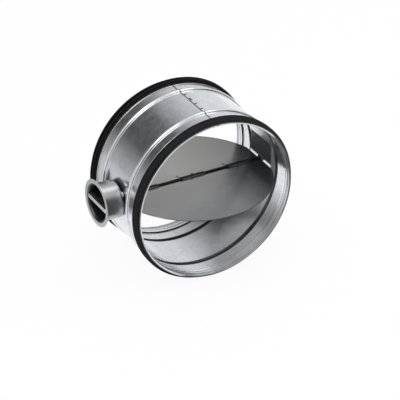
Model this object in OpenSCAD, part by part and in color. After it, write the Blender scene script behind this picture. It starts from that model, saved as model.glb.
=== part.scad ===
// Manual volume control damper for round duct, with gasketed spigots and a cup handle.
// Millimetres. Y runs along the duct from the front mouth, Z is up, and the shaft lies along X
// with the handle at -X. The origin is the centre of the front mouth.

/* [Duct casing] */
// Bore of the duct that slides over each spigot
duct_bore = 250; // [240:1:280]
// Slack between a rolled hem and that bore, on the radius
hem_slack = 0.2; // [0.1:0.05:0.5]
// Distance from an end of the casing to the middle of the nearer bead
insert_len = 40; // [36:1:60]
// Distance between the middles of the two stop beads
bead_spacing = 73; // [72:1:110]
// Thickness of the casing's sheet
sheet = 0.7; // [0.5:0.1:0.9]
// How far a bead stands out of the casing
bead_rise = 2.8; // [2:0.1:3]
// Outer radius of a bead's round
bead_r = 4; // [3.6:0.1:4.2]
// Outer radius of the hollow where a bead runs out into the wall
bead_fillet = 1.5; // [1:0.1:2]
// Width of the lap where the sheet's two edges are joined
lap_w = 10; // [6:1:16]

/* [Spigot ends] */
// How far the hem stands out of the casing's straight wall
hem_rise = 0.6; // [0.3:0.1:0.9]
// Length of the rolled hem
hem_len = 4.6; // [3.8:0.1:5]
// How far the gasket's seat is necked in below the straight wall
neck_depth = 1.9; // [1.6:0.1:2.4]
// Length of the gasket's seat
neck_len = 17; // [16.5:0.5:20]
// Length of the slope from the gasket's seat up to the straight wall
shoulder_len = 1.5; // [1:0.1:2.5]

/* [Gaskets] */
// How far the lips stand out of the hem
lip_rise = 4.6; // [3:0.1:5.5]
// Thickness of a lip at its root
lip_root = 2.4; // [2:0.1:2.6]
// Thickness of a lip at its tip
lip_tip = 0.9; // [0.6:0.1:1.2]
// Distance between the two lips
lip_pitch = 5.7; // [5:0.1:6]
// How far a lip leans back from its root to its tip
lip_lean = 2.4; // [1.5:0.1:3]

/* [Shaft seat in the casing] */
// Depth of the flat below the casing's straight wall
seat_depth = 5.2; // [4:0.1:6]
// Run of the slope at each end of the flat
seat_slope = 2.5; // [1.5:0.1:3.5]
// Straight wall left between the flat and a bead
seat_margin = 0.7; // [0.4:0.1:1.5]

/* [Blade and shaft] */
// Gap between the blade's edge and the casing's inside
blade_gap = 2.3; // [1.5:0.1:4]
// Thickness of the blade
blade_sheet = 1; // [0.8:0.1:1.5]
// Gap between a flat end of the blade and the bush
blade_end_gap = 0.8; // [0.5:0.1:2]
// Diameter of the shaft
shaft_dia = 6; // [5:0.1:7]
// Length of a raised loop in the blade
loop_len = 38; // [30:1:42]
// Length of the blade left beyond the raised loops at the handle's end
handle_end_run = 22.5; // [16:0.5:28]
// Length of the blade left beyond the raised loops at the far end
far_end_run = 17.5; // [12:0.5:24]
// Width of the slits between loops
slit_w = 1; // [0.6:0.1:1.4]
// Diameter of a blade rivet
rivet_dia = 2.4; // [2:0.1:3]

/* [Bearings] */
// Diameter of the bush where it passes the casing
bush_dia = 12; // [11:0.1:13]
// Diameter of the bush's outer flange
bush_flange_dia = 20; // [17:0.5:21]
// Thickness of the bush's outer flange
bush_flange = 2.5; // [2.3:0.1:3]
// Thickness of the bush's snap lip inside the casing
bush_lip = 1.5; // [1:0.1:2]
// Thickness of the shaft seal's ring
seal_section = 1.8; // [1.6:0.1:2]
// Thickness of the thrust washers
thrust_washer = 0.8; // [0.6:0.1:1.2]
// Height of the spring washer as fitted
spring_height = 1.05; // [0.9:0.05:1.4]

/* [Handle] */
// Outer diameter of the handle's cup
cup_dia = 56; // [55:0.5:57]
// Height of the cup, from its base to the face of its flange
cup_height = 30.6; // [29:0.1:40]
// Thickness of the cup's sheet
cup_sheet = 0.8; // [0.6:0.1:1]
// Diameter of the cup's flange
cup_flange_dia = 71.2; // [68:0.1:76]
// Radius of the bend from the cup's wall into its flange, on the inside of the cup
mouth_r = 3; // [2:0.1:3.5]
// Thickness of the grip bar
bar_w = 6; // [4:0.1:7]
// Depth of the grip bar
bar_depth = 14; // [12:0.5:15]
// How far the grip bar stands out of the moulding's webs
bar_proud = 4; // [2:0.1:5]
// Thickness of the moulding's webs on each side of the grip bar
web_wall = 2; // [1.5:0.1:3]
// Wall of the moulding that lines the cup
liner_wall = 1.5; // [1.2:0.1:2]
// Thickness of the moulding's floor
liner_floor = 2; // [1.5:0.1:3]

/* [Lock and stops] */
// Diameter of the lock screw
lock_dia = 5; // [4:0.1:5]
// Travel of the lock screw from released to clamped, one turn of its thread
lock_travel = 0.8; // [0.5:0.1:0.8]
// Distance of the lock screw from the shaft
lock_r = 20; // [19:0.1:20.4]
// Distance of the stop peg from the shaft
stop_r = 20; // [18:0.1:21]
// Diameter of the stop peg
peg_dia = 3; // [2.5:0.1:3.5]

/* [Hidden] */
$fn = 128;

// Overrun of a cut, clearance of a running fit and of a fit between pieces that stay together
over = 2;
running = 0.05;
snug = 0.02;

// Radii of the casing and places along the duct
hem_radius = duct_bore / 2 - hem_slack;
body_radius = hem_radius - hem_rise;
body_inside = body_radius - sheet;
neck_radius = body_radius - neck_depth;
neck_inside = neck_radius - sheet;
hem_round = (hem_radius - neck_inside) / 2;
casing_len = bead_spacing + 2 * insert_len;
mid = casing_len / 2;
shoulder_end = neck_len + shoulder_len;
bead_centre = body_radius + bead_rise - bead_r;
bead_foot = sqrt(pow(bead_r + bead_fillet, 2) - pow(body_radius + bead_fillet - bead_centre, 2));

// Lap along the top: a groove where the outer edge ends, and the inner edge as a strip
lap_groove_w = 0.8;
lap_groove_depth = sheet / 2;

// Gasket section
foot_gap = 0.1;
gasket_radius = hem_radius - sheet - foot_gap;
foot_start = hem_round + foot_gap;
lip_offset = 0.5;
lip_start = hem_len + lip_offset;
lip_sink = 0.4;
gasket_end_gap = 0.4;

// Shaft seats, as distances from the duct's axis
seat_out = body_radius - seat_depth;
seat_in = seat_out - sheet;
seat_half = bead_spacing / 2 - bead_foot - seat_margin - seat_slope;

// Bearings on each side, as distances from the duct's axis
shaft_r = shaft_dia / 2;
bore_r = shaft_r + running;
bush_r = bush_dia / 2;
bush_catch = 0.7;
bush_top = seat_out + bush_flange;
bush_bottom = seat_in - bush_lip;
seal_r = seal_section / 2;
seal_land = 0.1;
seal_centre = shaft_r + snug + seal_r;
washer_base = bush_top + running;
washer_top = washer_base + thrust_washer;
washer_r = 8;
spring_r = 7;
spring_sheet = 0.5;

// Far end of the shaft
clip_t = 0.8;
clip_r = 5.6;
groove_depth = 0.5;
groove_r = shaft_r - groove_depth;
clip_opening_share = 0.8;
clip_base = washer_top + running;
shaft_tail = 2;
shaft_far = clip_base + clip_t + running + shaft_tail;
shaft_chamfer = 0.5;

// Blade
blade_r = body_inside - blade_gap;
blade_end = bush_bottom - blade_end_gap;
loop_out = bore_r + blade_sheet;
raised_loops = [-1, 0, 1];
loop_pitch = (2 * blade_end - handle_end_run - far_end_run - loop_len) / (len(raised_loops) - 1);
loop_shift = (handle_end_run - far_end_run) / 2;
relief_len = 5;
rivet_r = rivet_dia / 2;
rivet_head_r = 2.2;
rivet_head = 0.8;

// Cup and what lines it
cup_base = washer_top + spring_height;
cup_r = cup_dia / 2;
cup_inside = cup_r - cup_sheet;
cup_floor = cup_base + cup_sheet;
cup_face = cup_base + cup_height;
base_round = 2;
liner_r = cup_inside - snug;
liner_bore = liner_r - liner_wall;
rim_step = 0.4;
liner_top = cup_face - mouth_r - rim_step;
floor_top = cup_floor + liner_floor;
notch_from = 120;
notch_to = 160;
notch_depth = 2.9;
notch_edge = 2.5;

// Grip bar and the two webs that hold it
bar_sink = 0.5;
bar_top = cup_face - bar_sink;
bar_bottom = bar_top - bar_depth;
bar_key = 1.2;
bar_half = liner_bore + bar_key;
bar_chamfer = 1.5;
web_half = bar_w / 2 + web_wall;
web_top = bar_top - bar_proud;

// Nut on the shaft, and the flats that drive the cup
flats_share = 0.84;
flats_half = flats_share * shaft_r;
flat_washer = 1;
flat_washer_r = 6;
nut_base = floor_top + flat_washer;
nut_t = 5;
nut_corner = 5.77;
nut_face_share = 0.86;
thread_out = 1.5;
shaft_handle = nut_base + nut_t + thread_out;
hub_r = 9;
hub_bore = 6.8;
hub_lip = 0.5;
hub_top = shaft_handle + hub_lip;

// Stops: a peg turns with the cup between two lugs pressed out of the flat
peg_r = peg_dia / 2;
peg_angle = -50;
peg_gap = 0.5;
peg_head = 0.8;
peg_head_r = 2.5;
head_room = 0.1;
lug_r = 2;
lug_height = 2.4;
stop_gap = 0.1;
lug_step = 2 * asin((peg_r + lug_r + stop_gap) / 2 / stop_r);
quarter = 90;
turn = 360;

// Lock: screw, nut and brake pad
lock_angle = 140;
screw_r = lock_dia / 2;
screw_room = 0.25;
pad_r = 4;
pad_t = 2.6;
pad_base = seat_out + lock_travel + snug;
pad_top = pad_base + pad_t;
socket_r = 1.8;
socket_depth = 1.2;
lock_nut_t = 4;
lock_nut_corner = 4.62;
nut_pocket_r = 5;
head_gap = 0.4;
screw_head = cup_floor + lock_nut_t + lock_travel + head_gap;
screw_head_r = 4.5;
screw_head_t = 2.8;
drive_r = 2;
drive_depth = 1.6;

// Puts a piece whose height runs along Z from the duct's axis on the handle's side
module on_handle_side() {
    translate([0, mid, 0])
        rotate([0, -90, 0])
            children();
}

// The same on the far side
module on_far_side() {
    translate([0, mid, 0])
        rotate([0, 90, 0])
            children();
}

// Places a piece at a radius and angle round the shaft, the angle from +Y towards +Z
module at_angle(angle, radius) {
    rotate([0, 0, quarter - angle])
        translate([radius, 0, 0])
            children();
}

// Turns a section round the duct's axis
module round_duct(sweep = turn) {
    rotate([-90, 0, 0])
        rotate([0, 0, -quarter - sweep / 2])
            rotate_extrude(angle = sweep)
                children();
}

// A section drawn for the front end, and its mirror at the rear end
module both_ends() {
    children();
    translate([0, casing_len])
        mirror([0, 1])
            children();
}

module washer(inner, outer, base, height) {
    translate([0, 0, base])
        difference() {
            cylinder(r = outer, h = height);
            translate([0, 0, -over])
                cylinder(r = inner, h = height + 2 * over);
        }
}

// Filled section of a bead with the hollows at its feet, its surface drawn in by inset
module bead_section(inset) {
    translate([bead_centre, 0])
        circle(r = bead_r - inset);
    for (side = [-1, 1]) {
        foot = side * bead_foot;
        difference() {
            polygon([[bead_centre, 0], [bead_centre, foot], [body_radius + bead_fillet, foot]]);
            translate([body_radius + bead_fillet, foot])
                circle(r = bead_fillet + inset);
        }
    }
}

// Filled section of the tube between its hems, its surface drawn in by inset
module tube_section(inset, overrun = 0) {
    slope = atan2(neck_depth, shoulder_len);
    shift = inset * tan(slope / 2);
    both_ends()
        polygon([
            [0, hem_round - overrun],
            [neck_radius - inset, hem_round - overrun],
            [neck_radius - inset, neck_len + shift],
            [body_radius - inset, shoulder_end + shift],
            [body_radius - inset, mid],
            [0, mid]
        ]);
    for (side = [-1, 1]) {
        translate([0, mid + side * bead_spacing / 2])
            bead_section(inset);
    }
}

// The sheet turns back on itself over the foot of the gasket
module hem_section() {
    translate([neck_inside + hem_round, hem_round])
        difference() {
            circle(r = hem_round);
            circle(r = hem_round - sheet);
            translate([-hem_round - over, 0])
                square([2 * (hem_round + over), hem_round + over]);
        }
    translate([hem_radius - sheet, hem_round])
        square([sheet, hem_len - hem_round]);
}

module tube_wall() {
    round_duct() {
        difference() {
            tube_section(0);
            tube_section(sheet, hem_round + over);
        }
        both_ends()
            hem_section();
    }
}

// Cuts the line that the outer edge of the sheet leaves along the top
module lap_groove() {
    sweep = lap_groove_w / body_radius * turn / (2 * PI);
    round_duct(sweep)
        difference() {
            translate([neck_inside, lip_start])
                square([hem_radius + bead_rise - neck_inside, casing_len - 2 * lip_start]);
            tube_section(lap_groove_depth);
        }
}

// The inner edge of the sheet, under the line
module lap_strip() {
    sweep = lap_w / body_inside * turn / (2 * PI);
    round_duct(sweep)
        intersection() {
            translate([0, hem_len])
                square([hem_radius + bead_rise, casing_len - 2 * hem_len]);
            difference() {
                tube_section(lap_groove_depth);
                tube_section(2 * sheet, hem_round);
            }
        }
}

// Room outside a pressed flat, its faces moved into the sheet by inset
module seat_room(inset) {
    slope = atan2(seat_depth, seat_slope);
    half = seat_half + inset * tan(slope / 2);
    rise = seat_depth + inset + over;
    run = seat_slope * rise / seat_depth;
    translate([seat_out - inset, 0, -body_radius / 2])
        linear_extrude(body_radius)
            polygon([[0, -half], [rise, -half - run], [rise, half + run], [0, half]]);
}

// Lugs pressed out of the flat: the solid form, or the hollow behind it
module lugs(radius, base, height) {
    for (angle = [peg_angle - lug_step, peg_angle + quarter + lug_step]) {
        at_angle(angle, stop_r)
            translate([0, 0, base])
                cylinder(r = radius, h = height);
    }
}

module bush_hole() {
    translate([0, 0, seat_in - over])
        cylinder(r = bush_r + snug, h = sheet + 2 * over);
}

module casing() {
    color("silver")
        difference() {
            union() {
                difference() {
                    tube_wall();
                    for (side = [0, 2 * quarter]) {
                        translate([0, mid, 0])
                            rotate([0, 0, side])
                                seat_room(0);
                    }
                }
                for (side = [0, 2 * quarter]) {
                    translate([0, mid, 0])
                        rotate([0, 0, side])
                            intersection() {
                                difference() {
                                    seat_room(sheet);
                                    seat_room(0);
                                }
                                rotate([90, 0, 0])
                                    translate([0, 0, -bead_spacing / 2])
                                        cylinder(r = body_radius, h = bead_spacing);
                            }
                }
                lap_strip();
                on_handle_side()
                    lugs(lug_r, seat_out - lap_groove_depth, lug_height + lap_groove_depth);
            }
            lap_groove();
            on_handle_side()
                lugs(lug_r - sheet, seat_in - over, over + lug_height);
            on_handle_side()
                bush_hole();
            on_far_side()
                bush_hole();
        }
}

module lip(start) {
    root = gasket_radius - lip_sink;
    tip_r = lip_tip / 2;
    crest = hem_radius + lip_rise - tip_r;
    tip = start + lip_lean + lip_root / 2;
    polygon([
        [root, start],
        [crest, tip - tip_r],
        [crest, tip + tip_r],
        [root, start + lip_root]
    ]);
    translate([crest, tip])
        circle(r = tip_r);
}

module gasket() {
    color("black")
        round_duct() {
            translate([neck_radius, foot_start])
                square([gasket_radius - neck_radius, neck_len - gasket_end_gap - foot_start]);
            lip(lip_start);
            lip(lip_start + lip_pitch);
        }
}

module front_gasket() {
    gasket();
}

module rear_gasket() {
    translate([0, casing_len, 0])
        mirror([0, 1, 0])
            gasket();
}

module bush() {
    color("dimgray")
        difference() {
            union() {
                translate([0, 0, bush_bottom])
                    cylinder(r = bush_r, h = bush_top - bush_bottom);
                translate([0, 0, bush_bottom])
                    cylinder(r1 = bush_r - bush_catch / 2, r2 = bush_r + bush_catch, h = bush_lip);
                translate([0, 0, seat_out])
                    cylinder(r = bush_flange_dia / 2, h = bush_flange);
            }
            translate([0, 0, bush_bottom - over])
                cylinder(r = bore_r, h = bush_top - bush_bottom + 2 * over);
            translate([0, 0, bush_top - seal_section - seal_land])
                cylinder(r = seal_centre + seal_r, h = seal_section + over);
        }
}

module handle_side_bush() {
    on_handle_side()
        bush();
}

module far_side_bush() {
    on_far_side()
        bush();
}

module shaft_seal() {
    color("black")
        translate([0, 0, bush_top - seal_land - seal_r])
            rotate_extrude()
                translate([seal_centre, 0])
                    circle(r = seal_r);
}

module handle_side_shaft_seal() {
    on_handle_side()
        shaft_seal();
}

module far_side_shaft_seal() {
    on_far_side()
        shaft_seal();
}

// Shaft with its height along Z towards the handle
module shaft() {
    color("gainsboro")
        on_handle_side()
            difference() {
                union() {
                    translate([0, 0, -shaft_far + shaft_chamfer])
                        cylinder(r = shaft_r, h = shaft_far + shaft_handle - 2 * shaft_chamfer);
                    translate([0, 0, -shaft_far])
                        cylinder(r1 = shaft_r - shaft_chamfer, r2 = shaft_r, h = shaft_chamfer);
                    translate([0, 0, shaft_handle - shaft_chamfer])
                        cylinder(r1 = shaft_r, r2 = shaft_r - shaft_chamfer, h = shaft_chamfer);
                }
                for (side = [0, 2 * quarter]) {
                    rotate([0, 0, side])
                        translate([flats_half, -shaft_dia, cup_base])
                            cube([shaft_dia, 2 * shaft_dia, shaft_handle]);
                }
                washer(groove_r, shaft_dia, -clip_base - clip_t - running, clip_t + 2 * running);
                for (loop = raised_loops) {
                    translate([0, 0, -loop_shift - loop * loop_pitch])
                        rotate([0, 90, 0])
                            translate([0, 0, -shaft_dia])
                                cylinder(r = rivet_r + snug, h = 2 * shaft_dia);
                }
            }
}

// Disc of the blade with its ends cut flat and the shaft's slot open
module blade_sheet_cut() {
    difference() {
        intersection() {
            translate([0, 0, -blade_sheet / 2])
                cylinder(r = blade_r, h = blade_sheet);
            translate([-blade_end, -blade_r - over, -blade_sheet])
                cube([2 * blade_end, 2 * (blade_r + over), 2 * blade_sheet]);
        }
        translate([-blade_end - over, 0, 0])
            rotate([0, 90, 0])
                cylinder(r = bore_r, h = 2 * (blade_end + over));
    }
}

// Loops of the blade over a length of the shaft, raised for side 1 and lowered for side -1
module loop(from, to, side) {
    cut = side > 0 ? blade_sheet / 2 : -blade_sheet / 2 - 2 * loop_out;
    translate([from, 0, 0])
        rotate([0, 90, 0])
            difference() {
                cylinder(r = loop_out, h = to - from);
                translate([0, 0, -over])
                    cylinder(r = bore_r, h = to - from + 2 * over);
                translate([cut, -2 * loop_out, -over])
                    cube([2 * loop_out, 4 * loop_out, to - from + 2 * over]);
            }
}

module blade() {
    color("lightgray")
        translate([0, mid, 0])
            difference() {
                union() {
                    blade_sheet_cut();
                    for (place = raised_loops) {
                        middle = loop_shift + place * loop_pitch;
                        loop(middle - loop_len / 2, middle + loop_len / 2, 1);
                    }
                    for (place = [-1, 0]) {
                        middle = loop_shift + (place + 1 / 2) * loop_pitch;
                        reach = (loop_pitch - loop_len) / 2 - slit_w;
                        loop(middle - reach, middle + reach, -1);
                    }
                    loop(-blade_end, loop_shift - loop_pitch - loop_len / 2 - slit_w, -1);
                    loop(loop_shift + loop_pitch + loop_len / 2 + slit_w, blade_end, -1);
                }
                for (place = raised_loops) {
                    middle = loop_shift + place * loop_pitch;
                    translate([middle - loop_len / 2 - slit_w, -loop_out, -over])
                        cube([slit_w, 2 * loop_out + relief_len, 2 * over]);
                    translate([middle + loop_len / 2, -loop_out, -over])
                        cube([slit_w, 2 * loop_out, 2 * over]);
                    translate([middle, 0, 0])
                        cylinder(r = rivet_r + snug, h = 2 * loop_out);
                }
            }
}

module blade_rivets() {
    color("gray")
        for (place = raised_loops) {
            translate([loop_shift + place * loop_pitch, mid, 0]) {
                translate([0, 0, -shaft_r])
                    cylinder(r = rivet_r, h = shaft_r + loop_out);
                difference() {
                    cylinder(r = rivet_head_r, h = loop_out + rivet_head);
                    rotate([0, 90, 0])
                        translate([0, 0, -shaft_dia])
                            cylinder(r = loop_out, h = 2 * shaft_dia);
                }
                difference() {
                    translate([0, 0, -shaft_r - rivet_head])
                        cylinder(r = rivet_head_r, h = shaft_r + rivet_head);
                    rotate([0, 90, 0])
                        translate([0, 0, -shaft_dia])
                            cylinder(r = shaft_r, h = 2 * shaft_dia);
                }
            }
        }
}

module handle_thrust_washer() {
    color("silver")
        on_handle_side()
            washer(bore_r, washer_r, washer_base, thrust_washer);
}

module far_side_washer() {
    color("silver")
        on_far_side()
            washer(bore_r, washer_r, washer_base, thrust_washer);
}

module spring_washer() {
    color("gray")
        on_handle_side()
            rotate_extrude()
                polygon([
                    [bore_r, washer_top],
                    [spring_r, cup_base - spring_sheet],
                    [spring_r, cup_base],
                    [bore_r, washer_top + spring_sheet]
                ]);
}

module shaft_clip() {
    opening = clip_opening_share * groove_r;
    color("gray")
        on_far_side()
            difference() {
                washer(groove_r + snug, clip_r, clip_base, clip_t);
                translate([0, -opening, clip_base - over])
                    cube([2 * clip_r, 2 * opening, clip_t + 2 * over]);
            }
}

// Hole for the end of the shaft that carries the flats
module flats_hole(base, height) {
    translate([0, 0, base])
        intersection() {
            cylinder(r = bore_r, h = height);
            translate([-flats_half - running, -shaft_dia, 0])
                cube([2 * (flats_half + running), 2 * shaft_dia, height]);
        }
}

// Section of the drawn cup, from its axis to the rim of its flange
module cup_section() {
    bend = cup_inside + mouth_r;
    translate([0, cup_base])
        square([cup_r - base_round, cup_sheet]);
    translate([cup_r - base_round, cup_base + base_round])
        difference() {
            circle(r = base_round);
            circle(r = base_round - cup_sheet);
            translate([-base_round - over, 0])
                square([2 * (base_round + over), base_round + over]);
            translate([-base_round - over, -base_round - over])
                square([base_round + over, 2 * (base_round + over)]);
        }
    translate([cup_inside, cup_base + base_round])
        square([cup_sheet, cup_height - base_round - mouth_r]);
    translate([bend, cup_face - mouth_r])
        difference() {
            circle(r = mouth_r);
            circle(r = mouth_r - cup_sheet);
            translate([-mouth_r - over, -mouth_r - over])
                square([2 * (mouth_r + over), mouth_r + over]);
            translate([0, -mouth_r - over])
                square([mouth_r + over, 2 * (mouth_r + over)]);
        }
    translate([bend, cup_face - cup_sheet])
        square([cup_flange_dia / 2 - bend, cup_sheet]);
}

module handle_cup() {
    color("silver")
        on_handle_side()
            difference() {
                rotate_extrude()
                    cup_section();
                flats_hole(cup_base - over, cup_sheet + 2 * over);
                at_angle(lock_angle, lock_r)
                    translate([0, 0, cup_base - over])
                        cylinder(r = screw_r + screw_room, h = cup_sheet + 2 * over);
                at_angle(peg_angle, stop_r)
                    translate([0, 0, cup_base - over])
                        cylinder(r = peg_r + snug, h = cup_sheet + 2 * over);
                rotate([0, 0, quarter - notch_to])
                    rotate_extrude(angle = notch_to - notch_from)
                        translate([cup_r - notch_edge, cup_base - over])
                            square([notch_edge + over, notch_depth + over]);
            }
}

// Section of the black moulding, from its axis to its wall
module liner_section() {
    round_in = base_round - cup_sheet;
    polygon([
        [0, cup_floor],
        [liner_r - round_in, cup_floor],
        [liner_r, cup_floor + round_in],
        [liner_r, liner_top],
        [liner_bore, liner_top],
        [liner_bore, floor_top],
        [hub_r, floor_top],
        [hub_r, hub_top],
        [hub_bore, hub_top],
        [hub_bore, floor_top],
        [0, floor_top]
    ]);
}

// The two webs that hold the ends of the grip bar
module webs() {
    inner = (hub_bore + hub_r) / 2;
    outer = (liner_bore + liner_r) / 2;
    bottom = (cup_floor + floor_top) / 2;
    for (side = [0, 2 * quarter]) {
        rotate([0, 0, side])
            translate([-web_half, inner, bottom])
                cube([2 * web_half, outer - inner, web_top - bottom]);
    }
}

module handle_insert() {
    color([0.1, 0.1, 0.1])
        on_handle_side()
            difference() {
                union() {
                    rotate_extrude()
                        liner_section();
                    webs();
                }
                translate([-bar_w / 2 - snug, -bar_half - snug, bar_bottom - snug])
                    cube([bar_w + 2 * snug, 2 * (bar_half + snug), bar_depth + mouth_r + over]);
                flats_hole(cup_floor - over, liner_floor + 2 * over);
                at_angle(lock_angle, lock_r)
                    translate([0, 0, cup_floor - over])
                        cylinder(r = nut_pocket_r, h = liner_floor + 2 * over);
                at_angle(peg_angle, stop_r)
                    translate([0, 0, cup_floor - over])
                        cylinder(r = peg_head_r + head_room, h = over + peg_head + head_room);
            }
}

module grip_bar() {
    color("gainsboro")
        on_handle_side()
            rotate([90, 0, 0])
                rotate([0, 90, 0])
                    translate([0, 0, -bar_w / 2])
                        linear_extrude(bar_w)
                            polygon([
                                [-bar_half, bar_bottom],
                                [bar_half, bar_bottom],
                                [bar_half, bar_top - bar_chamfer],
                                [bar_half - bar_chamfer, bar_top],
                                [-bar_half + bar_chamfer, bar_top],
                                [-bar_half, bar_top - bar_chamfer]
                            ]);
}

module handle_flat_washer() {
    color("silver")
        on_handle_side()
            washer(bore_r, flat_washer_r, floor_top, flat_washer);
}

// Hexagonal nut with chamfered corners
module hex_nut(corner, bore, base, height) {
    face = nut_face_share * corner;
    translate([0, 0, base])
        difference() {
            intersection() {
                cylinder(r = corner, h = height, $fn = 6);
                rotate_extrude()
                    polygon([
                        [0, 0],
                        [face, 0],
                        [corner, (corner - face) / 2],
                        [corner, height - (corner - face) / 2],
                        [face, height],
                        [0, height]
                    ]);
            }
            translate([0, 0, -over])
                cylinder(r = bore, h = height + 2 * over);
        }
}

module handle_nut() {
    color("silver")
        on_handle_side()
            hex_nut(nut_corner, bore_r, nut_base, nut_t);
}

module stop_peg() {
    color("gray")
        on_handle_side()
            at_angle(peg_angle, stop_r) {
                translate([0, 0, seat_out + peg_gap])
                    cylinder(r = peg_r, h = cup_floor - seat_out - peg_gap);
                translate([0, 0, cup_floor])
                    cylinder(r = peg_head_r, h = peg_head);
            }
}

module lock_nut() {
    color("silver")
        on_handle_side()
            at_angle(lock_angle, lock_r)
                hex_nut(lock_nut_corner, screw_r + running, cup_floor, lock_nut_t);
}

module lock_screw() {
    color("gainsboro")
        on_handle_side()
            at_angle(lock_angle, lock_r)
                difference() {
                    union() {
                        translate([0, 0, pad_top - socket_depth + snug])
                            cylinder(r = socket_r - running, h = 2 * socket_depth);
                        translate([0, 0, pad_top + snug])
                            cylinder(r = screw_r, h = screw_head - pad_top - snug);
                        translate([0, 0, screw_head])
                            cylinder(r = screw_head_r, h = screw_head_t);
                    }
                    translate([0, 0, screw_head + screw_head_t - drive_depth])
                        cylinder(r = drive_r, h = drive_depth + over, $fn = 6);
                }
}

module lock_pad() {
    color("white")
        on_handle_side()
            at_angle(lock_angle, lock_r)
                difference() {
                    translate([0, 0, pad_base])
                        cylinder(r = pad_r, h = pad_t);
                    translate([0, 0, pad_top - socket_depth])
                        cylinder(r = socket_r, h = socket_depth + over);
                }
}

casing();
front_gasket();
rear_gasket();
handle_side_bush();
far_side_bush();
handle_side_shaft_seal();
far_side_shaft_seal();
shaft();
blade();
blade_rivets();
handle_thrust_washer();
spring_washer();
far_side_washer();
shaft_clip();
handle_cup();
handle_insert();
grip_bar();
handle_flat_washer();
handle_nut();
stop_peg();
lock_nut();
lock_screw();
lock_pad();
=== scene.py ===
"""Looks of a manual volume control damper: galvanised casing, blade and cup handle, rubber gaskets.

Lengths are in metres. The duct runs along Y, and the blade turns on a shaft along X.
"""

import math

import bmesh
import bpy
from mathutils import Matrix, Vector


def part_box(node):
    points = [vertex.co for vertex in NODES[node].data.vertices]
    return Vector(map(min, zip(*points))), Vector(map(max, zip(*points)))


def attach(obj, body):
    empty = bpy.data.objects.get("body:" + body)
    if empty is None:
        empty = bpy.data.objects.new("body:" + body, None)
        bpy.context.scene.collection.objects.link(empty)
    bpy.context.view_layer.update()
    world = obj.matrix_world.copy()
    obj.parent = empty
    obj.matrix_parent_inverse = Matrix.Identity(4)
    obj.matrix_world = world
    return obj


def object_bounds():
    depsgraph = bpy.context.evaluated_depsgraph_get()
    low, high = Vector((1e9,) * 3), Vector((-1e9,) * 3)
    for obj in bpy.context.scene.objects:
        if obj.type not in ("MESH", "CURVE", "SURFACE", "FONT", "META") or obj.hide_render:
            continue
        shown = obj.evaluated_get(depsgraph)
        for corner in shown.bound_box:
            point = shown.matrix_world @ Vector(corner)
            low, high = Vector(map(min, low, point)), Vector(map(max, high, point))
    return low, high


bl_info = {
    "name": "Duct damper looks",
    "version": (1, 0, 0),
    "blender": (4, 5, 0),
    "location": "3D View > Sidebar > Damper",
    "description": "Finishes and fine detail for a round duct damper, and a studio to see it in",
    "category": "Object",
}

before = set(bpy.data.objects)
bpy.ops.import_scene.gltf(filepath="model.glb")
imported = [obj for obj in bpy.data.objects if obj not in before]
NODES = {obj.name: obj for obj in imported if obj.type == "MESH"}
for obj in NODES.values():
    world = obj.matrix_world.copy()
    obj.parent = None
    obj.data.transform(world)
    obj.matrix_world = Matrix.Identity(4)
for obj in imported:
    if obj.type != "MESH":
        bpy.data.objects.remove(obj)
CAD_BOX = [list(corner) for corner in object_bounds()]
MIDDLE = (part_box("casing")[0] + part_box("casing")[1]) / 2
CUP_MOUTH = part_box("handle_cup")[0].x + 0.003

# Galvanised sheet. The mottle is how much darker and lighter the zinc gets, in parts of its colour.
# The smear and the glint are what clouds and crystals add to its roughness or take from it.
METAL = 0.93
MOTTLE = (0.14, 0.08)
CRYSTAL_SHARE = 0.45
SMEAR = 0.03
GLINT = 0.015

# Where the casing's paint changes, painted shade and a painted highlight among it, as two radii
# or two depths: none of it at the first, all of it at the second. A depth is measured in from the
# nearer mouth of the duct.
BEAD_ZONE = (0.029, 0.030)
BEAD_HOLLOW = (0.12355, 0.1243)
NECK = (0.0168, 0.0160)
HEM = (0.0048, 0.0047)
HEM_OUTSIDE = (0.1238, 0.1241)
ROLL_SHADE = (0.0028, 0.0018)
ROLL_HIGHLIGHT = (0.0030, 0.0024)
HIGHLIGHT_METAL = 0.15

# The rim is painted in shade where a point leans far enough towards +X and down, in parts of X
# and of -Z.
LEAN = (0.8, 0.6)
LOW_RIM_SHADE = (0.02, 0.04)

# The necks' zinc is painted brighter, as painted light, and its rolling marks are drawn out round
# the duct, so fine along Y.
NECK_PAINTED_LIGHT = 1.16
ROLLED = (14, 420, 14)
STREAK = (0.55, 0.68)

# Bands of painted shade, as middle, half width and soft edge: the crease of each shoulder by its
# depth, the line of the lap at the top, a dark joint with painted shade along its step, and the
# pressed flat, which is only shaded near the shaft, under the cup.
CREASE = (0.0178, 0.0004, 0.0006)
LAP_LINE = (0.0004, 0.0008, 0.0005)
FLAT = (-0.119, 0.0003, 0.0002)
CUP_SHADE = (0.029, 0.024)

# Depth from the mouth, radius and size of each fine line pressed round the sheet.
PRESSED_LINES = (
    (0.0042, 0.1217, 0.0008),
    (0.0068, 0.1217, 0.0006),
    (0.0116, 0.1217, 0.0006),
    (0.0206, 0.1241, 0.0006),
)
LINE_CORNERS = 8
ROUND_STEPS = 192

# Small dark tabs beside the lap, their dark a painted shade: places along the duct, distance from
# the lap, radius and half sizes.
LAP_MARKS = (0.0535, 0.0705, 0.0835, 0.0875, 0.1010)
LAP_MARK_SIDE = 0.0034
LAP_MARK_RADIUS = 0.1243
LAP_MARK_SIZE = (0.0018, 0.0006, 0.0007)

# The blade is painted in shade towards its far end and over its front half. It has a band of
# painted shade along the shaft, and a tick of painted shade across it at one end of each slit that
# the loops are raised from.
BLADE_FAR_SHADE = (-0.01, 0.115)
BLADE_FRONT_SHADE = (MIDDLE.y + 0.02, MIDDLE.y - 0.02)
SHAFT_SHADE = (MIDDLE.y, 0.0028, 0.0006)
SLITS = (-0.094, -0.017, 0.060)
TICK_WIDTH = (0.0009, 0.0005)
TICK_LENGTH = (MIDDLE.y + 0.0045, 0.0075, 0.001)
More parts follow.
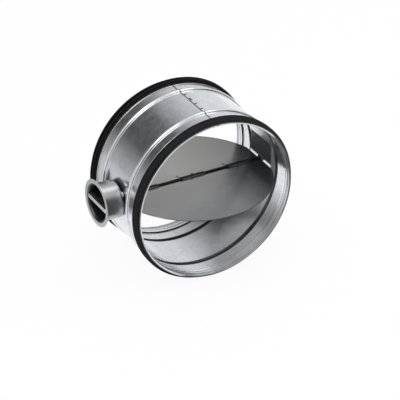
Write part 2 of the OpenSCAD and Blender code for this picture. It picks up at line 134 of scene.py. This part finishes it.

# The cup's flange is painted lighter, as painted light, and painted in shade where it curls into
# the cup's mouth.
FLANGE = (CUP_MOUTH + 0.0002, CUP_MOUTH)
FLANGE_PAINTED_LIGHT = 1.28
FLANGE_CURL_SHADE = (0.0300, 0.0287)

# Studio: the cards' distance from the damper, the level of those on the floor over its middle,
# the grey of their haze, and the floor's half width and its gap under the damper.
CARD_DISTANCE = 2.0
CARD_COLUMNS = 24
FLOOR_CARD = -0.1288
HAZE = 0.40
FLOOR_HALF = 6
FLOOR_GAP = 0.0005

# Colour sockets of the Mix node, which share their names with its other sockets.
MIX_FIRST, MIX_SECOND, MIX_RESULT = 6, 7, 2


class FinishSettings(bpy.types.PropertyGroup):
    """Colours and grain of the damper's finishes."""

    zinc: bpy.props.FloatVectorProperty(
        name="Zinc", description="Colour of bright galvanised sheet",
        subtype="COLOR", size=3, min=0, max=1, default=(0.81, 0.83, 0.86))
    dull_zinc: bpy.props.FloatVectorProperty(
        name="Dull zinc", description="Colour of the blade's duller galvanised sheet",
        subtype="COLOR", size=3, min=0, max=1, default=(0.495, 0.50, 0.49))
    cup: bpy.props.FloatVectorProperty(
        name="Cup", description="Colour of the drawn cup's satin zinc",
        subtype="COLOR", size=3, min=0, max=1, default=(0.45, 0.46, 0.47))
    # This dark colour paints the shade in creases, round the rims, on the blade and under the cup,
    # and is also the shaft's dark steel, the necks' rolling marks and the lap's tabs.
    dark_and_painted_shade: bpy.props.FloatVectorProperty(
        name="Dark lines", description="Colour of oily dust in creases, and of the shaft",
        subtype="COLOR", size=3, min=0, max=1, default=(0.05, 0.05, 0.053))
    plated: bpy.props.FloatVectorProperty(
        name="Plated steel", description="Colour of zinc plated bars and fasteners",
        subtype="COLOR", size=3, min=0, max=1, default=(0.72, 0.72, 0.72))
    spring: bpy.props.FloatVectorProperty(
        name="Spring steel", description="Colour of the spring washer and the shaft clip",
        subtype="COLOR", size=3, min=0, max=1, default=(0.25, 0.25, 0.26))
    rubber: bpy.props.FloatVectorProperty(
        name="Rubber", description="Colour of the gaskets and seals",
        subtype="COLOR", size=3, min=0, max=1, default=(0.014, 0.014, 0.0145))
    moulding: bpy.props.FloatVectorProperty(
        name="Moulding", description="Colour of the black moulding in the cup",
        subtype="COLOR", size=3, min=0, max=1, default=(0.012, 0.012, 0.013))
    bush: bpy.props.FloatVectorProperty(
        name="Bushes", description="Colour of the shaft's two bearings",
        subtype="COLOR", size=3, min=0, max=1, default=(0.09, 0.09, 0.095))
    pad: bpy.props.FloatVectorProperty(
        name="Brake pad", description="Colour of the lock's brake pad",
        subtype="COLOR", size=3, min=0, max=1, default=(0.62, 0.62, 0.6))
    spangle: bpy.props.FloatProperty(
        name="Spangle", description="Width of one zinc crystal",
        subtype="DISTANCE", min=0.0005, max=0.02, default=0.005)
    wave: bpy.props.FloatProperty(
        name="Wave", description="Width of the soft waves that rolling leaves in the sheet",
        subtype="DISTANCE", min=0.01, max=0.2, default=0.045)


class StudioSettings(bpy.types.PropertyGroup):
    """Camera, lamps and floor."""

    azimuth: bpy.props.FloatProperty(
        name="Azimuth", description="Side that the camera looks from, 0 along +Y",
        subtype="ANGLE", default=math.radians(-29.93))
    elevation: bpy.props.FloatProperty(
        name="Elevation", description="Height of the camera above the horizon",
        subtype="ANGLE", default=math.radians(31.23))
    roll: bpy.props.FloatProperty(
        name="Roll", description="Turn of the camera about its own axis",
        subtype="ANGLE", default=math.radians(0.85))
    distance: bpy.props.FloatProperty(
        name="Distance", description="From the camera to the middle of the damper",
        subtype="DISTANCE", min=0.5, default=3.1561)
    lens: bpy.props.FloatProperty(
        name="Lens", description="Focal length on a 36 mm frame",
        unit="CAMERA", min=10, default=195.28)
    side_step: bpy.props.FloatProperty(
        name="Side step", description="How far the view's middle lies right of the damper's",
        subtype="DISTANCE", default=0.01366)
    drop: bpy.props.FloatProperty(
        name="Drop", description="How far the view's middle lies below the damper's",
        subtype="DISTANCE", default=0.03326)
    key_power: bpy.props.FloatProperty(
        name="Key lamp", description="Power of the soft lamp above the camera", min=0, default=10)
    fill_power: bpy.props.FloatProperty(
        name="Fill lamp", description="Power of the soft lamp on the right", min=0, default=10)
    top_power: bpy.props.FloatProperty(
        name="Top lamp", description="Power of the soft lamp overhead", min=0, default=3)
    world_level: bpy.props.FloatProperty(
        name="Room", description="Brightness of the room", min=0, default=0.9)
    floor_white: bpy.props.FloatProperty(
        name="Floor", description="How far the floor shows white to the camera and in the metal",
        min=0, max=1, default=0.93)


class Nodes:
    """Adds nodes to one material and links them by name."""

    def __init__(self, name):
        self.material = bpy.data.materials.new(name)
        self.material.use_nodes = True
        self.tree = self.material.node_tree
        self.tree.nodes.clear()
        self.output = self.add("OutputMaterial")
        self.shader = self.add("BsdfPrincipled")
        self.link(self.shader, "BSDF", self.output, "Surface")
        self.place = self.add("TexCoord").outputs["Object"]

    def add(self, kind, **settings):
        node = self.tree.nodes.new("ShaderNode" + kind)
        for key, value in settings.items():
            setattr(node, key, value)
        return node

    def link(self, source, out, target, into):
        self.tree.links.new(source.outputs[out], target.inputs[into])

    def feed(self, socket, value):
        """Gives a socket a number, a colour or another node's output."""
        if isinstance(value, bpy.types.NodeSocket):
            self.tree.links.new(value, socket)
        elif socket.type == "RGBA":
            socket.default_value = (*value, 1)
        else:
            socket.default_value = value

    def shade(self, **values):
        """Feeds the shader's inputs, named with underscores for spaces."""
        for name, value in values.items():
            self.feed(self.shader.inputs[name.replace("_", " ")], value)

    def noise(self, size, detail, place=None):
        node = self.add("TexNoise")
        node.inputs["Scale"].default_value = 1 / size
        node.inputs["Detail"].default_value = detail
        self.feed(node.inputs["Vector"], place or self.place)
        return node.outputs["Fac"]

    def crystals(self, size):
        """A level from 0 to 1 for each zinc crystal."""
        node = self.add("TexVoronoi")
        node.inputs["Scale"].default_value = 1 / size
        self.feed(node.inputs["Vector"], self.place)
        split = self.add("SeparateColor")
        self.link(node, "Color", split, "Color")
        return split.outputs["Red"]

    def bump(self, height, depth, strength=1.0):
        node = self.add("Bump")
        node.inputs["Strength"].default_value = strength
        node.inputs["Distance"].default_value = depth
        self.feed(node.inputs["Height"], height)
        return node.outputs["Normal"]

    def math(self, operation, first, second=0):
        node = self.add("Math", operation=operation)
        for socket, value in zip(node.inputs, (first, second)):
            self.feed(socket, value)
        return node.outputs[0]

    def remap(self, value, low, high, new_low, new_high):
        node = self.add("MapRange")
        sockets = ("Value", "From Min", "From Max", "To Min", "To Max")
        for name, number in zip(sockets, (value, low, high, new_low, new_high)):
            self.feed(node.inputs[name], number)
        return node.outputs["Result"]

    def rise(self, value, ends, most=1):
        """A mask that is 0 where the value is the first of the ends, and most at the second."""
        return self.remap(value, *ends, 0, most)

    def band(self, value, middle, half, soft):
        """A mask of 1 where a value lies within half of the middle, with a soft edge."""
        off = self.math("ABSOLUTE", self.math("SUBTRACT", value, middle))
        return self.rise(off, (half + soft, half))

    def overlap(self, mask, *others):
        """A mask of the places that all of these masks share."""
        for other in others:
            mask = self.math("MULTIPLY", mask, other)
        return mask

    def xyz(self):
        """The point's X, Y and Z."""
        split = self.add("SeparateXYZ")
        self.feed(split.inputs[0], self.place)
        return split.outputs

    def reach(self, first, second):
        """Distance from the line where both values are zero."""
        spoke = self.add("CombineXYZ")
        self.feed(spoke.inputs["X"], first)
        self.feed(spoke.inputs["Y"], second)
        length = self.add("VectorMath", operation="LENGTH")
        self.link(spoke, "Vector", length, 0)
        return length.outputs["Value"]

    def from_shaft(self, y, z):
        """Distance from the shaft's axis."""
        return self.reach(self.math("SUBTRACT", y, MIDDLE.y), z)

    def depth(self, y):
        """Distance in from the nearer mouth of the duct."""
        off = self.math("ABSOLUTE", self.math("SUBTRACT", y, MIDDLE.y))
        return self.math("SUBTRACT", MIDDLE.y, off)

    def inner(self, x, z):
        """A mask of 1 on faces that look at the duct's axis."""
        spoke = self.add("CombineXYZ")
        self.feed(spoke.inputs["X"], x)
        self.feed(spoke.inputs["Z"], z)
        facing = self.add("VectorMath", operation="DOT_PRODUCT")
        self.link(self.add("NewGeometry"), "Normal", facing, 0)
        self.link(spoke, "Vector", facing, 1)
        return self.rise(facing.outputs["Value"], (0.0, -0.02))

    def mix(self, share, first, second):
        """The first colour going over into the second one as the share goes from 0 to 1."""
        node = self.add("Mix", data_type="RGBA")
        self.feed(node.inputs["Factor"], share)
        self.feed(node.inputs[MIX_FIRST], first)
        self.feed(node.inputs[MIX_SECOND], second)
        return node.outputs[MIX_RESULT]

    def colour(self, value):
        """Sets the base colour and keeps it, so that more can be laid over it."""
        self.base = value
        self.shade(Base_Color=value)

    def paint(self, mask, colour):
        """Lays a colour over the base colour where the mask is 1."""
        self.colour(self.mix(mask, self.base, colour))


def scaled(colour, factor):
    """The colour made lighter or darker."""
    return tuple(min(1.0, part * factor) for part in colour)


def grey(level):
    """A grey as red, green and blue."""
    return (level, level, level)


def galvanised(name, colour, rough, waves, mottle=1.0):
    """Hot dip galvanised sheet, with faint zinc crystals and the soft waves that rolling leaves.

    The waves are given by their depth, and the mottle is how strongly the zinc varies.
    """
    finish = bpy.context.scene.damper_finish
    nodes = Nodes(name)
    crystal = nodes.crystals(finish.spangle)
    cloud = nodes.noise(finish.wave / 2, 3.0)
    share = nodes.math(
        "ADD",
        nodes.math("MULTIPLY", crystal, CRYSTAL_SHARE),
        nodes.math("MULTIPLY", cloud, 1 - CRYSTAL_SHARE))
    darker, lighter = MOTTLE
    nodes.colour(nodes.mix(
        share, scaled(colour, 1 - darker * mottle), scaled(colour, 1 + lighter * mottle)))
    smear = nodes.noise(finish.wave / 3, 4.0)
    uneven = nodes.math(
        "ADD",
        nodes.remap(smear, 0.3, 0.7, -SMEAR * mottle, SMEAR * mottle),
        nodes.remap(crystal, 0, 1, -GLINT, GLINT))
    nodes.shade(
        Roughness=nodes.math("ADD", uneven, rough),
        Normal=nodes.bump(nodes.noise(finish.wave, 1.0), waves),
        Metallic=METAL)
    return nodes


def plated(name, colour, rough, grain):
    """Zinc plated steel with fine drawn grain."""
    nodes = Nodes(name)
    fine = nodes.noise(grain, 3.0)
    nodes.shade(
        Base_Color=nodes.mix(fine, scaled(colour, 0.88), scaled(colour, 1.08)),
        Roughness=nodes.remap(fine, 0.3, 0.7, rough - 0.05, rough + 0.06),
        Normal=nodes.bump(fine, 0.00003, 0.4),
        Metallic=1.0)
    return nodes.material


def moulded(name, colour, rough, grain):
    """Rubber or plastic with a fine moulded or extruded skin."""
    nodes = Nodes(name)
    fine = nodes.noise(grain, 2.0)
    dust = nodes.noise(grain * 12, 3.0)
    nodes.shade(
        Base_Color=nodes.mix(dust, scaled(colour, 0.8), scaled(colour, 1.5)),
        Roughness=nodes.remap(dust, 0.3, 0.7, rough - 0.06, rough + 0.08),
        Normal=nodes.bump(fine, 0.00004, 0.35),
        Specular_IOR_Level=0.25)
    return nodes.material


def smooth(mesh):
    """Shades a mesh smoothly inside each of its faces."""
    mesh.polygons.foreach_set("use_smooth", [True] * len(mesh.polygons))


def finish_nodes(material, *names):
    """Gives CAD nodes their finish and smooth shading."""
    for name in names:
        mesh = NODES[name].data
        mesh.materials.clear()
        mesh.materials.append(material)
        smooth(mesh)


class DAMPER_OT_casing(bpy.types.Operator):
    """Finish the galvanised casing"""

    bl_idname = "damper.casing"
    bl_label = "Casing"

    def execute(self, context):
        finish = context.scene.damper_finish
        nodes = galvanised("casing_zinc", finish.zinc, rough=0.2, waves=0.0004)
        x, y, z = nodes.xyz()
        radius = nodes.reach(x, z)
        depth = nodes.depth(y)
        inner = nodes.inner(x, z)
        self.shade_creases(nodes, finish, radius, depth, inner)
        self.edge_mouths(nodes, finish, x, z, radius, depth, inner)
        self.lighten_necks(nodes, finish, depth, inner)
        self.darken_outside(nodes, finish, x, y, z)
        finish_nodes(nodes.material, "casing")
        return {"FINISHED"}

    def shade_creases(self, nodes, finish, radius, depth, inner):
        """Painted shade in the hollows of the stop beads and in the crease of each shoulder."""
        # Painted shade, laid in the dark colour.
        hollow_shade = nodes.rise(radius, BEAD_HOLLOW, most=0.87)
        nodes.paint(nodes.overlap(inner, hollow_shade, nodes.rise(depth, BEAD_ZONE)), finish.dark_and_painted_shade)
        nodes.paint(nodes.overlap(inner, nodes.band(depth, *CREASE)), finish.dark_and_painted_shade)

    def edge_mouths(self, nodes, finish, x, z, radius, depth, inner):
        """Rubber colour on the hems' outside, painted shade low on the rim, a painted highlight
        above.
        """
        outer = nodes.rise(inner, (1, 0))
        # The outside of each hem is painted in the rubber's colour.
        hem = nodes.rise(radius, HEM_OUTSIDE, most=0.92)
        nodes.paint(nodes.overlap(outer, hem, nodes.rise(depth, HEM)), finish.rubber)
        across, down = LEAN
        lean = nodes.math(
            "SUBTRACT", nodes.math("MULTIPLY", x, across), nodes.math("MULTIPLY", z, down))
        # Painted shade on the rim where it leans towards +X and down.
        low = nodes.rise(lean, LOW_RIM_SHADE, most=0.92)
        nodes.paint(nodes.overlap(low, nodes.rise(depth, ROLL_SHADE)), finish.dark_and_painted_shade)
        # A painted highlight along the rim above, where its zinc is made a pale, matt surface.
        pale = nodes.overlap(
            nodes.rise(depth, ROLL_HIGHLIGHT),
            nodes.rise(radius, HEM_OUTSIDE[::-1]),
            nodes.rise(low, (0.5, 0)))
        nodes.shade(Metallic=nodes.remap(pale, 0, 1, METAL, HIGHLIGHT_METAL))

    def lighten_necks(self, nodes, finish, depth, inner):
        """Zinc painted brighter inside the necks, as painted light, with dark rolling marks."""
        neck = nodes.overlap(inner, nodes.rise(depth, NECK))
        # Painted light: the zinc inside the necks made brighter.
        nodes.paint(neck, scaled(finish.zinc, NECK_PAINTED_LIGHT))
        stretch = nodes.add("Mapping")
        stretch.inputs["Scale"].default_value = ROLLED
        nodes.feed(stretch.inputs["Vector"], nodes.place)
        marks = nodes.noise(1.0, 2.0, stretch.outputs["Vector"])
        nodes.paint(nodes.overlap(neck, nodes.rise(marks, STREAK, most=0.42)), finish.dark_and_painted_shade)

    def darken_outside(self, nodes, finish, x, y, z):
        """The lap's dark joint with painted shade along it, and painted shade on the flat under the
        cup.
        """
        # The lap's line: a dark joint with painted shade along its step.
        top = nodes.rise(z, (0.0, 0.001), most=0.8)
        nodes.paint(nodes.overlap(top, nodes.band(x, *LAP_LINE)), finish.dark_and_painted_shade)
        # Painted shade on the flat round the shaft, under the cup.
        under = nodes.rise(nodes.from_shaft(y, z), CUP_SHADE, most=0.85)
        nodes.paint(nodes.overlap(under, nodes.band(x, *FLAT)), finish.dark_and_painted_shade)


def pressed_line(depth, radius, size):
    """Section of one pressed line: the corners of a small round, as radius and depth."""
    corners = []
    for corner in range(LINE_CORNERS):
        angle = 2 * math.pi * corner / LINE_CORNERS
        corners.append((radius + size * math.cos(angle), depth + size * math.sin(angle)))
    return corners


def revolve(form, section, end):
    """Turns a closed section of radius and depth round the duct, at its front or rear end."""
    rounds = []
    for turn in range(ROUND_STEPS):
        angle = 2 * math.pi * turn / ROUND_STEPS
        corners = []
        for radius, depth in section:
            place = 2 * MIDDLE.y - depth if end == "rear" else depth
            point = (radius * math.sin(angle), place, radius * math.cos(angle))
            corners.append(form.verts.new(point))
        rounds.append(corners)
    for turn in range(ROUND_STEPS):
        near, far = rounds[turn], rounds[(turn + 1) % ROUND_STEPS]
        for corner in range(len(section)):
            after = (corner + 1) % len(section)
            form.faces.new((near[corner], near[after], far[after], far[corner]))


def sort_by_place(form):
    """Puts corners and faces in order of place, as Blender's sphere mixes them at each run."""
    orders = (
        (form.verts, lambda vert: vert.co.to_tuple()),
        (form.faces, lambda face: face.calc_center_median().to_tuple()))
    for parts, place in orders:
        for index, part in enumerate(sorted(parts, key=place)):
            part.index = index
        parts.sort()


def add_object(name, form, material):
    """Puts a finished mesh in the scene with one material."""
    mesh = bpy.data.meshes.new(name)
    form.to_mesh(mesh)
    form.free()
    mesh.materials.append(material)
    added = bpy.data.objects.new(name, mesh)
    bpy.context.scene.collection.objects.link(added)
    return added


def add_piece(name, form, material, body):
    """Turns a finished mesh into a smooth piece that rides on a body."""
    bmesh.ops.recalc_face_normals(form, faces=form.faces)
    piece = add_object(name, form, material)
    smooth(piece.data)
    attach(piece, body)


class DAMPER_OT_pressed_lines(bpy.types.Operator):
    """Add the fine lines pressed beside the gaskets and the marks along the lap"""

    bl_idname = "damper.pressed_lines"
    bl_label = "Pressed lines"

    def execute(self, context):
        zinc = NODES["casing"].data.materials[0]
        form = bmesh.new()
        for end in ("front", "rear"):
            for depth, radius, size in PRESSED_LINES:
                revolve(form, pressed_line(depth, radius, size), end)
        add_piece("pressed_lines", form, zinc, "housing")
        form = bmesh.new()
        for place in LAP_MARKS:
            made = bmesh.ops.create_uvsphere(form, u_segments=12, v_segments=8, radius=1)["verts"]
            bmesh.ops.scale(form, vec=LAP_MARK_SIZE, verts=made)
            bmesh.ops.translate(form, vec=(LAP_MARK_SIDE, place, LAP_MARK_RADIUS), verts=made)
        sort_by_place(form)
        # The lap's tabs are coloured dark, a painted shade.
        dark_and_painted_shade = context.scene.damper_finish.dark_and_painted_shade
        dark = plated("lap_mark", dark_and_painted_shade, rough=0.5, grain=0.0005)
        add_piece("lap_marks", form, dark, "housing")
        return {"FINISHED"}


class DAMPER_OT_gaskets(bpy.types.Operator):
    """Finish the rubber gaskets and the shaft seals"""

    bl_idname = "damper.gaskets"
    bl_label = "Gaskets"

    def execute(self, context):
        colour = context.scene.damper_finish.rubber
        rubber = moulded("gasket_rubber", colour, rough=0.6, grain=0.0006)
        finish_nodes(
            rubber, "front_gasket", "rear_gasket", "handle_side_shaft_seal", "far_side_shaft_seal")
        return {"FINISHED"}


class DAMPER_OT_blade(bpy.types.Operator):
    """Finish the blade, its rivets and the shaft"""

    bl_idname = "damper.blade"
    bl_label = "Blade and shaft"

    def execute(self, context):
        finish = context.scene.damper_finish
        nodes = galvanised("blade_zinc", finish.dull_zinc, rough=0.22, waves=0.0001, mottle=0.3)
        x, y, _ = nodes.xyz()
        # Painted shade towards the blade's far end and over its front half.
        nodes.paint(nodes.rise(x, BLADE_FAR_SHADE, most=0.6), finish.dark_and_painted_shade)
        nodes.paint(nodes.rise(y, BLADE_FRONT_SHADE, most=0.26), finish.dark_and_painted_shade)
        # Painted shade along the shaft, and at one end of each slit.
        nodes.paint(nodes.band(y, *SHAFT_SHADE), finish.dark_and_painted_shade)
        for slit in SLITS:
            tick = nodes.overlap(nodes.band(x, slit, *TICK_WIDTH), nodes.band(y, *TICK_LENGTH))
            nodes.paint(tick, finish.dark_and_painted_shade)
        finish_nodes(nodes.material, "blade")
        steel = plated("shaft_steel", finish.dark_and_painted_shade, rough=0.3, grain=0.0008)
        finish_nodes(steel, "shaft", "blade_rivets")
        return {"FINISHED"}


class DAMPER_OT_handle(bpy.types.Operator):
    """Finish the cup handle with its moulding and grip bar"""

    bl_idname = "damper.handle"
    bl_label = "Handle"

    def execute(self, context):
        finish = context.scene.damper_finish
        nodes = galvanised("cup_zinc", finish.cup, rough=0.31, waves=0.0001, mottle=0.4)
        x, y, z = nodes.xyz()
        flange = nodes.rise(x, FLANGE)
        # Painted light: the cup's flange made lighter.
        nodes.paint(flange, scaled(finish.cup, FLANGE_PAINTED_LIGHT))
        # Painted shade where the flange curls into the cup's mouth.
        curl_shade = nodes.rise(nodes.from_shaft(y, z), FLANGE_CURL_SHADE, most=0.9)
        nodes.paint(nodes.overlap(curl_shade, flange), finish.dark_and_painted_shade)
        finish_nodes(nodes.material, "handle_cup")
        moulding = moulded("handle_moulding", finish.moulding, rough=0.42, grain=0.0005)
        finish_nodes(moulding, "handle_insert")
        steel = plated("bar_steel", finish.plated, rough=0.32, grain=0.0006)
        finish_nodes(steel, "grip_bar")
        return {"FINISHED"}


class DAMPER_OT_small_parts(bpy.types.Operator):
    """Finish the bearings, washers, fasteners and the lock"""

    bl_idname = "damper.small_parts"
    bl_label = "Small parts"

    def execute(self, context):
        finish = context.scene.damper_finish
        bush = moulded("bush_polyamide", finish.bush, rough=0.5, grain=0.0005)
        finish_nodes(bush, "handle_side_bush", "far_side_bush")
        bright = plated("fastener_zinc", finish.plated, rough=0.28, grain=0.0005)
        finish_nodes(
            bright, "handle_thrust_washer", "far_side_washer", "handle_flat_washer",
            "handle_nut", "stop_peg", "lock_nut", "lock_screw")
        spring = plated("spring_steel", finish.spring, rough=0.35, grain=0.0005)
        finish_nodes(spring, "spring_washer", "shaft_clip")
        acetal = moulded("pad_acetal", finish.pad, rough=0.4, grain=0.0005)
        finish_nodes(acetal, "lock_pad")
        return {"FINISHED"}


def camera_axes(studio):
    """Directions towards the camera, to its right and up, with its roll."""
    back = Vector((
        math.sin(studio.azimuth) * math.cos(studio.elevation),
        -math.cos(studio.azimuth) * math.cos(studio.elevation),
        math.sin(studio.elevation)))
    level = (-back).cross(Vector((0, 0, 1))).normalized()
    upright = level.cross(-back)
    right = math.cos(studio.roll) * level + math.sin(studio.roll) * upright
    up = -math.sin(studio.roll) * level + math.cos(studio.roll) * upright
    return back, right, up


def looked_at(tree):
    """1 where the camera looks, straight, in metal or through something clear."""
    paths = tree.nodes.new("ShaderNodeLightPath")
    seen = paths.outputs["Is Camera Ray"]
    for ray in ("Is Glossy Ray", "Is Transmission Ray"):
        either = tree.nodes.new("ShaderNodeMath")
        either.operation = "MAXIMUM"
        tree.links.new(seen, either.inputs[0])
        tree.links.new(paths.outputs[ray], either.inputs[1])
        seen = either.outputs[0]
    return seen


def soft_lamp(name, offset, size, power):
    """A rectangular lamp at some offset from the damper's middle, which it faces."""
    data = bpy.data.lights.new(name, "AREA")
    data.shape = "RECTANGLE"
    data.size, data.size_y = size
    data.energy = power
    lamp = bpy.data.objects.new(name, data)
    lamp.location = MIDDLE + offset
    lamp.rotation_euler = (MIDDLE - lamp.location).to_track_quat("-Z", "Y").to_euler()
    bpy.context.scene.collection.objects.link(lamp)
    return lamp


def curved_card(name, azimuths, rows, shades, fade=None, haze=None):
    """A card bent round the damper that only its metal mirrors, unseen and without a shadow.

    Each row is a distance from the damper and a height over its middle. The shades are the greys at
    the two ends of the fade, which is given in X, and a card without a fade has the first one. The
    haze is the two heights between which the card's pale foot fades out.
    """
    form = bmesh.new()
    lines = []
    for distance, height in rows:
        line = []
        for column in range(CARD_COLUMNS + 1):
            share = column / CARD_COLUMNS
            azimuth = math.radians(azimuths[0] + (azimuths[1] - azimuths[0]) * share)
            level = Vector((math.sin(azimuth), -math.cos(azimuth), 0)) * distance
            line.append(form.verts.new(MIDDLE + level + Vector((0, 0, height))))
        lines.append(line)
    for below, above in zip(lines, lines[1:]):
        for column in range(CARD_COLUMNS):
            after = column + 1
            form.faces.new((below[column], below[after], above[after], above[column]))
    nodes = Nodes(name)
    nodes.shade(Roughness=1.0)
    nodes.colour(grey(shades[0]))
    x, _, z = nodes.xyz()
    if fade:
        nodes.paint(nodes.rise(x, fade), grey(shades[1]))
    if haze:
        nodes.paint(nodes.rise(z, haze[::-1]), grey(HAZE))
    piece = add_object(name, form, nodes.material)
    piece.visible_camera = False
    piece.visible_diffuse = False
    piece.visible_shadow = False


class DAMPER_OT_studio(bpy.types.Operator):
    """Make the floor, the lamps and the camera"""

    bl_idname = "damper.studio"
    bl_label = "Studio"

    def execute(self, context):
        studio = context.scene.damper_studio
        axes = camera_axes(studio)
        self.make_room(context, studio)
        self.make_floor(studio)
        self.make_lamps(studio, *axes)
        self.make_cards()
        self.make_camera(context, studio, *axes)
        return {"FINISHED"}

    def make_room(self, context, studio):
        """The room is white to the camera and in reflections, and a plain soft light elsewhere."""
        world = bpy.data.worlds.new("room")
        context.scene.world = world
        world.use_nodes = True
        tree = world.node_tree
        tree.nodes.clear()
        mix = tree.nodes.new("ShaderNodeMixShader")
        tree.links.new(looked_at(tree), mix.inputs[0])
        for socket, strength in ((mix.inputs[1], studio.world_level), (mix.inputs[2], 1.0)):
            light = tree.nodes.new("ShaderNodeBackground")
            light.inputs["Strength"].default_value = strength
            tree.links.new(light.outputs[0], socket)
        output = tree.nodes.new("ShaderNodeOutputWorld")
        tree.links.new(mix.outputs[0], output.inputs["Surface"])

    def make_floor(self, studio):
        """A plain white floor just under the damper."""
        form = bmesh.new()
        bmesh.ops.create_grid(form, x_segments=1, y_segments=1, size=FLOOR_HALF)
        nodes = Nodes("floor_white")
        nodes.shade(Base_Color=grey(0.9), Roughness=0.9)
        seen = nodes.math("MULTIPLY", looked_at(nodes.tree), studio.floor_white)
        mix = nodes.add("MixShader")
        nodes.feed(mix.inputs[0], seen)
        nodes.link(nodes.shader, "BSDF", mix, 1)
        nodes.link(nodes.add("Emission"), "Emission", mix, 2)
        nodes.link(mix, "Shader", nodes.output, "Surface")
        floor = add_object("floor", form, nodes.material)
        floor.location = (0, MIDDLE.y, CAD_BOX[0][2] - FLOOR_GAP)

    def make_lamps(self, studio, back, right, up):
        """The key lamp goes with the camera, and the fill lamp doesn't show in the metal."""
        soft_lamp(
            "key_lamp", offset=1.4 * back + 1.1 * up - 0.5 * right, size=(1.4, 1.0),
            power=studio.key_power)
        fill = soft_lamp(
            "fill_lamp", offset=Vector((1.6, -0.6, 0.9)), size=(1.2, 1.2),
            power=studio.fill_power)
        fill.visible_glossy = False
        soft_lamp(
            "top_lamp", offset=Vector((0.8113, 0.152, 1.71)), size=(0.7, 0.7),
            power=studio.top_power)

    def make_cards(self):
        """Light and dark walls and floors for the zinc to mirror, by azimuth from the front."""
        curved_card(
            "front_card", azimuths=(-85, 85),
            rows=((CARD_DISTANCE, -0.1), (CARD_DISTANCE, 1.5)),
            shades=(0.9, 0.04), fade=(-2.0, -1.1))
        curved_card(
            "front_floor_card", azimuths=(-59, 80),
            rows=((0.06, FLOOR_CARD), (CARD_DISTANCE, FLOOR_CARD)),
            shades=(0.10,))
        curved_card(
            "back_floor_card", azimuths=(212, 250),
            rows=((0.26, FLOOR_CARD), (CARD_DISTANCE, FLOOR_CARD)),
            shades=(0.62,))
        curved_card(
            "back_card", azimuths=(146, 242),
            rows=((CARD_DISTANCE, -0.12), (CARD_DISTANCE, 2.2)),
            shades=(0.02, 0.8), fade=(-0.45, 1.15), haze=(0.1, 0.8))

    def make_camera(self, context, studio, back, right, up):
        """A long lens from the side that the settings give."""
        data = bpy.data.cameras.new("camera")
        data.lens = studio.lens
        data.sensor_width = 36
        data.clip_end = 50
        camera = bpy.data.objects.new("camera", data)
        place = MIDDLE + studio.distance * back + studio.side_step * right - studio.drop * up
        turn = Matrix((right, up, back)).transposed().to_4x4()
        camera.matrix_world = Matrix.Translation(place) @ turn
        context.scene.collection.objects.link(camera)
        context.scene.camera = camera
        context.scene.view_settings.view_transform = "Standard"


class DAMPER_PT_panel(bpy.types.Panel):
    """Lists the damper's pieces, finishes and studio."""

    bl_idname = "DAMPER_PT_panel"
    bl_label = "Damper"
    bl_space_type = "VIEW_3D"
    bl_region_type = "UI"
    bl_category = "Damper"

    def draw(self, context):
        for operator in OPERATORS:
            self.layout.operator(operator.bl_idname)
        for group in (context.scene.damper_finish, context.scene.damper_studio):
            box = self.layout.box()
            for name in group.__annotations__:
                box.prop(group, name)


OPERATORS = (
    DAMPER_OT_casing,
    DAMPER_OT_pressed_lines,
    DAMPER_OT_gaskets,
    DAMPER_OT_blade,
    DAMPER_OT_handle,
    DAMPER_OT_small_parts,
    DAMPER_OT_studio,
)
CLASSES = (FinishSettings, StudioSettings, *OPERATORS, DAMPER_PT_panel)


def register():
    for cls in CLASSES:
        bpy.utils.register_class(cls)
    bpy.types.Scene.damper_finish = bpy.props.PointerProperty(type=FinishSettings)
    bpy.types.Scene.damper_studio = bpy.props.PointerProperty(type=StudioSettings)


def unregister():
    del bpy.types.Scene.damper_studio
    del bpy.types.Scene.damper_finish
    for cls in reversed(CLASSES):
        bpy.utils.unregister_class(cls)


def main():
    register()
    for operator in OPERATORS:
        group, name = operator.bl_idname.split(".")
        getattr(getattr(bpy.ops, group), name)()


if __name__ == "__main__":
    main()
